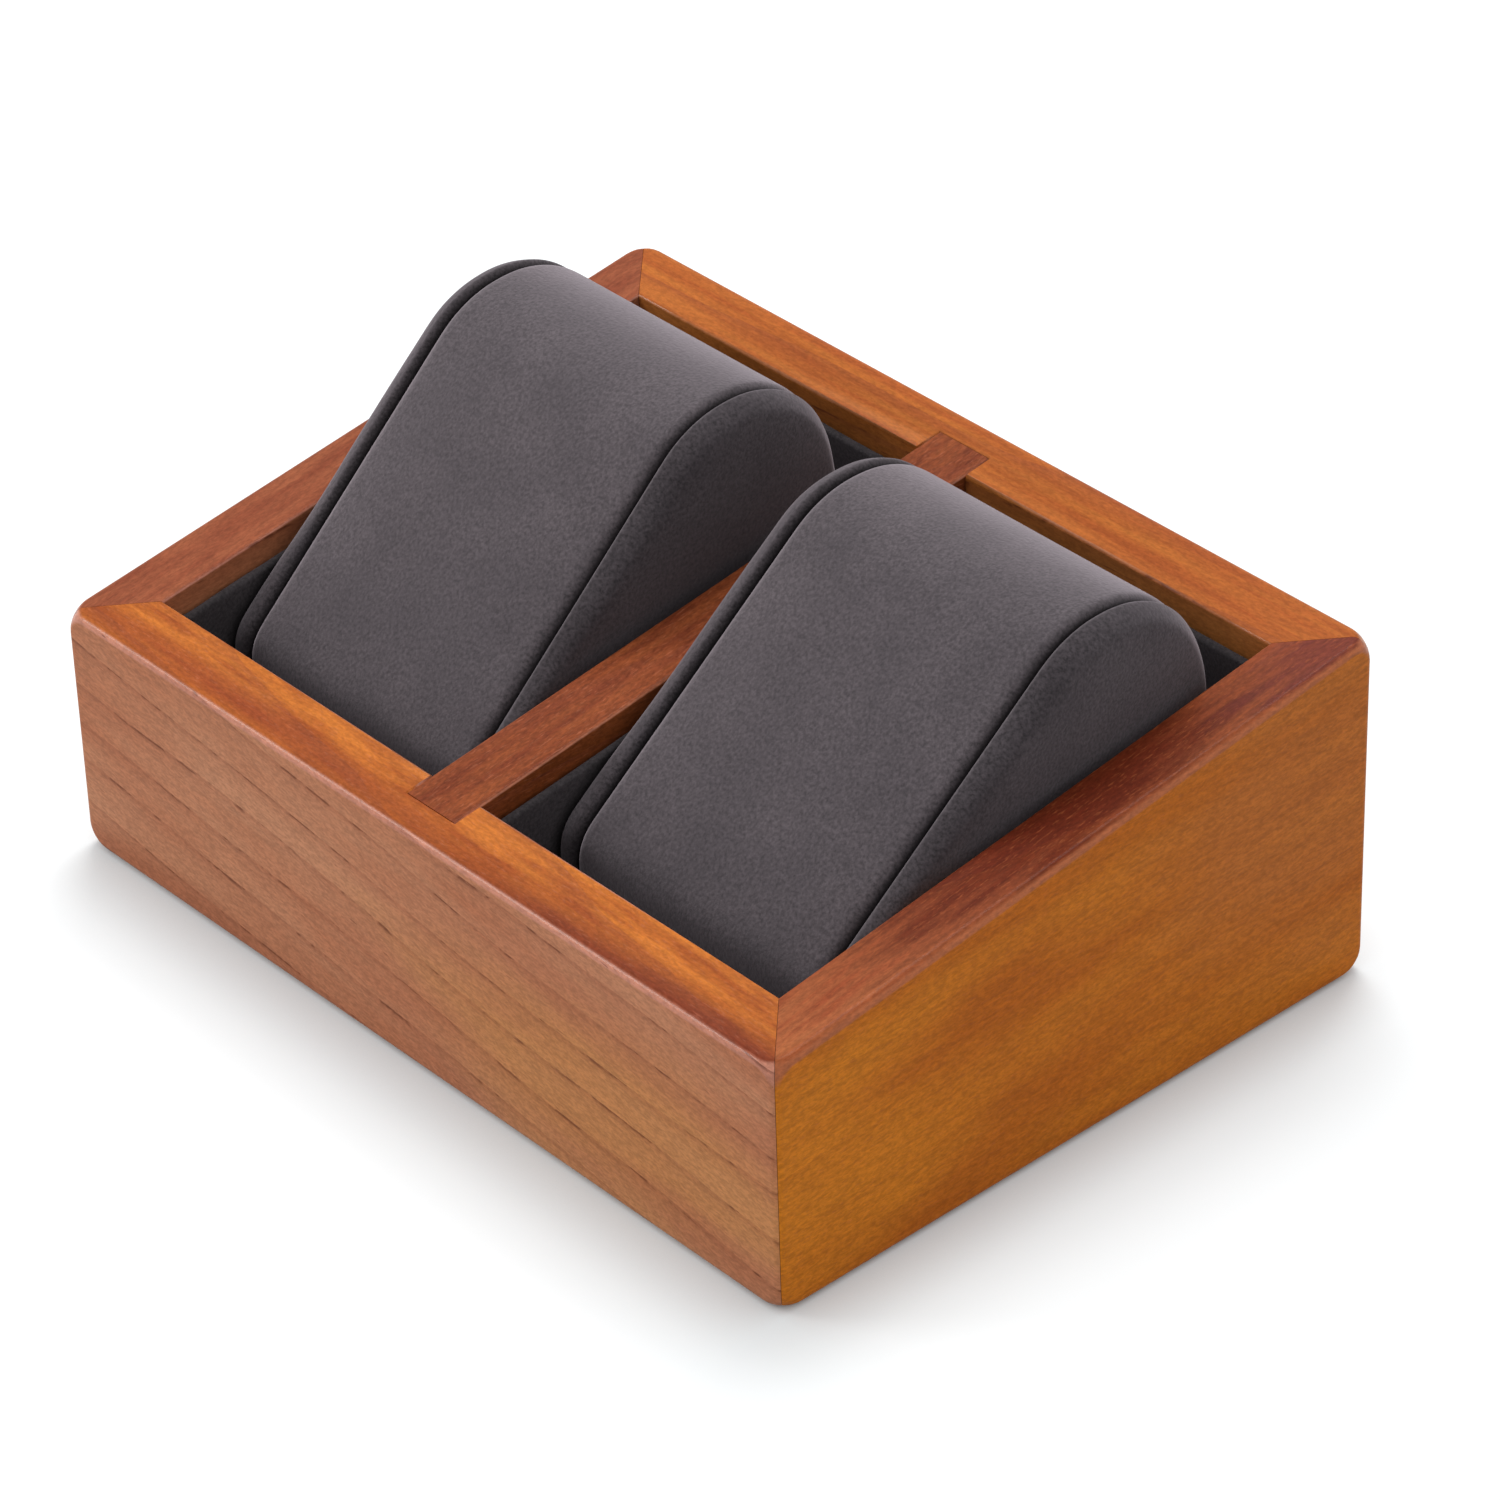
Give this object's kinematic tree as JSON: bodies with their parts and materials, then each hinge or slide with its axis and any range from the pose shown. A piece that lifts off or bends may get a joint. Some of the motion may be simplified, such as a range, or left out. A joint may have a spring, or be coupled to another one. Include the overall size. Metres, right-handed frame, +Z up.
{
  "type": "watch display stand",
  "caption": "Low mitred wooden tray with a sloping rim and a centre divider; each lined compartment holds a padded pillow for a strap to wrap round.",
  "frame": {"origin": "middle of the underside, on the surface that the stand rests on", "axes": "+X along the front, +Y from the low front to the high back, +Z up"},
  "size_m": [0.125, 0.092, 0.0618],
  "materials": {
    "wood_front": "satin",
    "wood_back": "satin",
    "wood_left": "satin",
    "wood_right": "satin",
    "wood_divider": "satin",
    "base_panel": "matte",
    "base_felt": "matte",
    "lining": "matte",
    "pillow_band": "matte",
    "pillow_cap": "matte"
  },
  "bodies": {
    "root": {"front_rail": "wood_front", "back_rail": "wood_back", "left_side": "wood_left", "right_side": "wood_right", "divider": "wood_divider", "base_board": "base_panel", "bottom_felt": "base_felt", "left_lining_floor": "lining", "left_lining_front": "lining", "left_lining_back": "lining", "left_lining_left": "lining", "left_lining_right": "lining", "right_lining_floor": "lining", "right_lining_front": "lining", "right_lining_back": "lining", "right_lining_left": "lining", "right_lining_right": "lining", "left_pillow_band": "pillow_band", "left_pillow_left_cap": "pillow_cap", "left_pillow_right_cap": "pillow_cap", "right_pillow_band": "pillow_band", "right_pillow_left_cap": "pillow_cap", "right_pillow_right_cap": "pillow_cap"}
  },
  "joints": []
}
